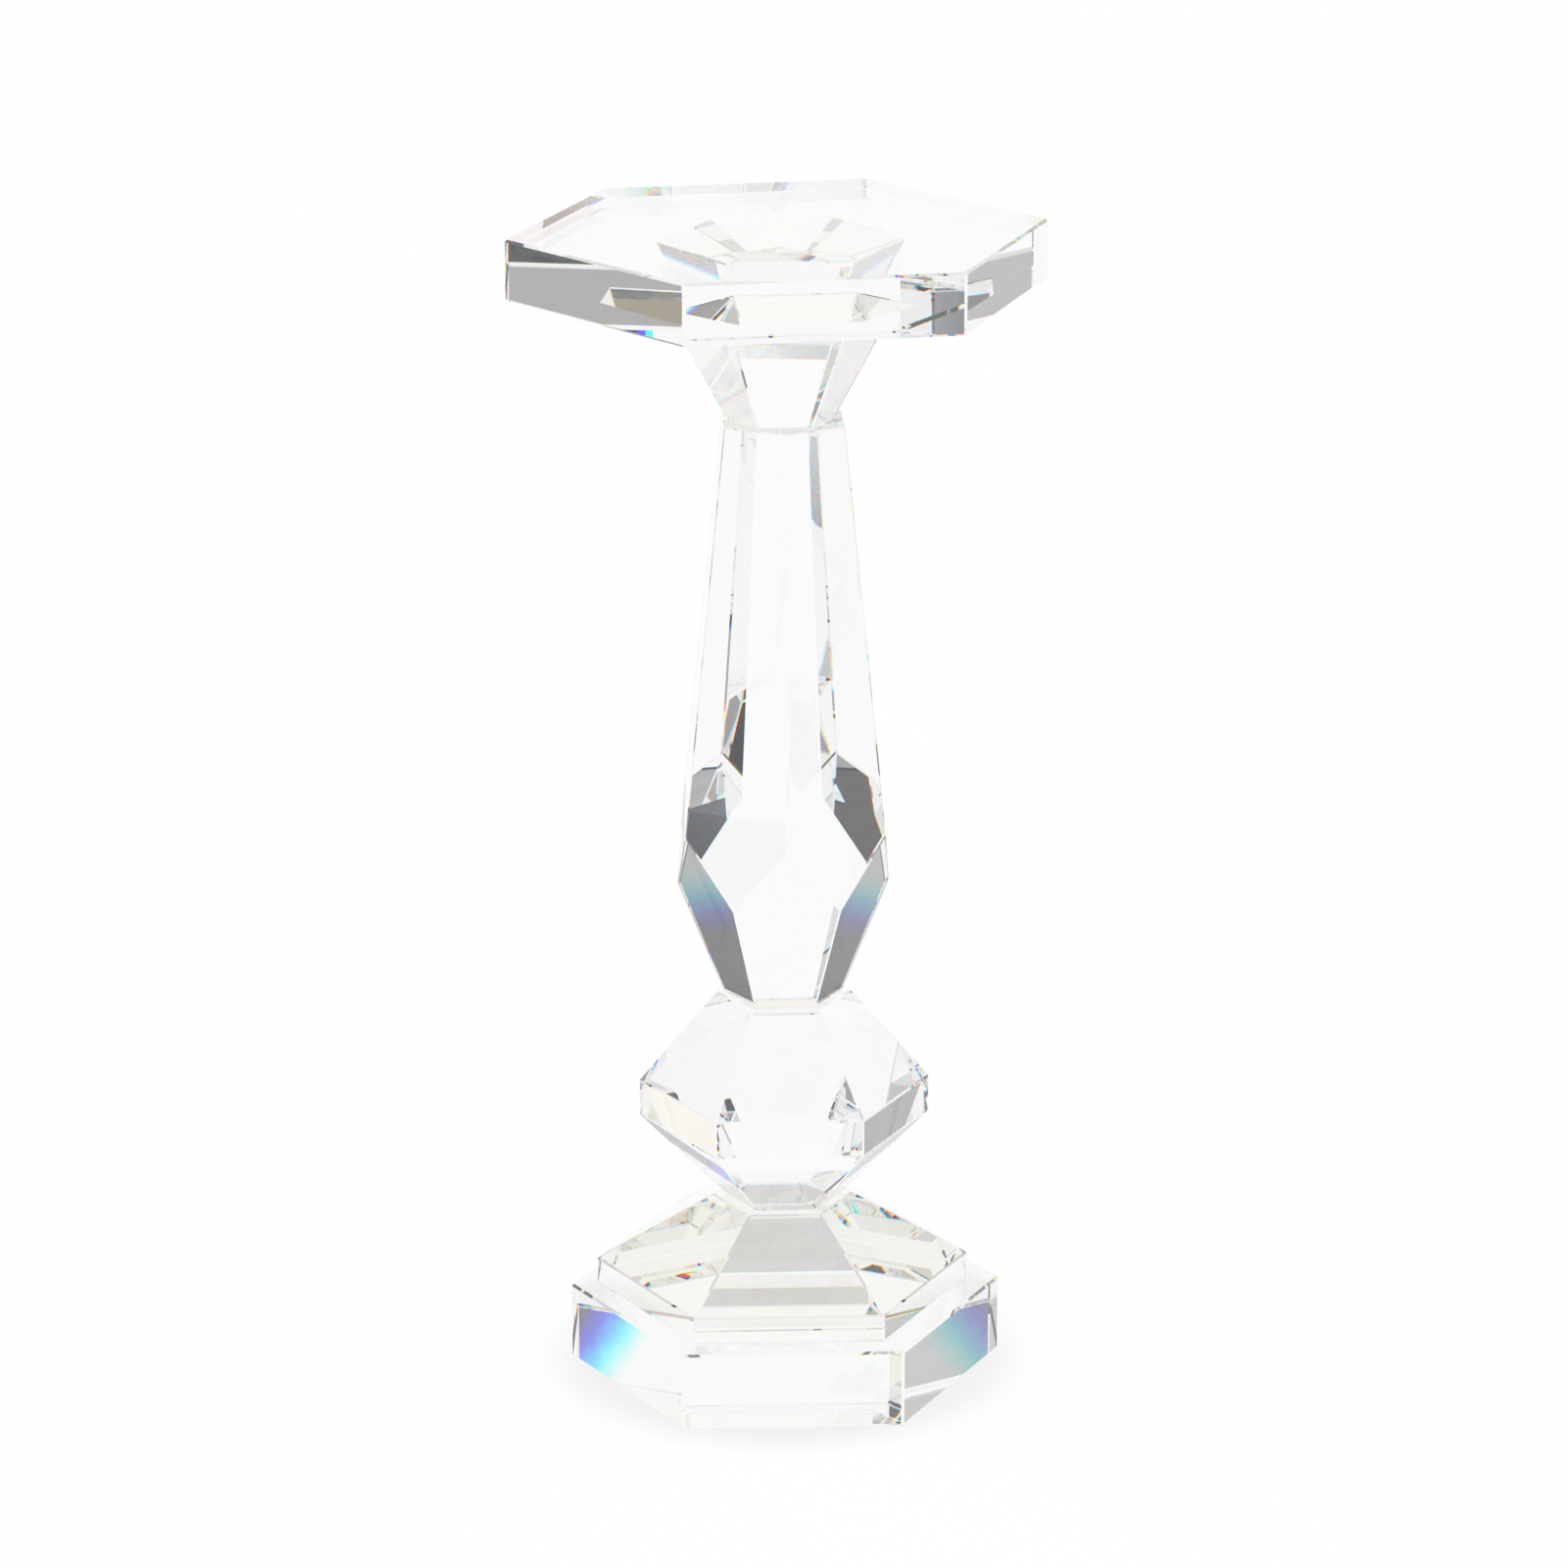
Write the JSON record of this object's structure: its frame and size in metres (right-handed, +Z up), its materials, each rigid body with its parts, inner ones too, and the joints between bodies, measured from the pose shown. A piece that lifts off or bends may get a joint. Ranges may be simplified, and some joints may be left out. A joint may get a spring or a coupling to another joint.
{
  "type": "glass candlestick",
  "caption": "Pillar candle holder built of bonded hexagonal solid-glass blocks: slab base, stepped foot, knop, long tapering stem, flared collar and flat plate.",
  "frame": {"origin": "centre of the flat underside that rests on the table", "axes": "+Z up along the stem; the base's hexagon has corners on +X and -X and a flat side toward -Y"},
  "size_m": [0.1142, 0.1076, 0.254],
  "materials": {
    "glass": "ground and polished clear optical glass",
    "adhesive": "cured clear adhesive"
  },
  "bodies": {
    "root": {"base_slab": "glass", "bond_slab_pyramid": "adhesive", "base_pyramid": "glass", "bond_pyramid_knop": "adhesive", "knop": "glass", "bond_knop_stem": "adhesive", "stem": "glass", "bond_stem_collar": "adhesive", "collar": "glass", "bond_collar_plate": "adhesive", "candle_plate": "glass"}
  },
  "joints": []
}
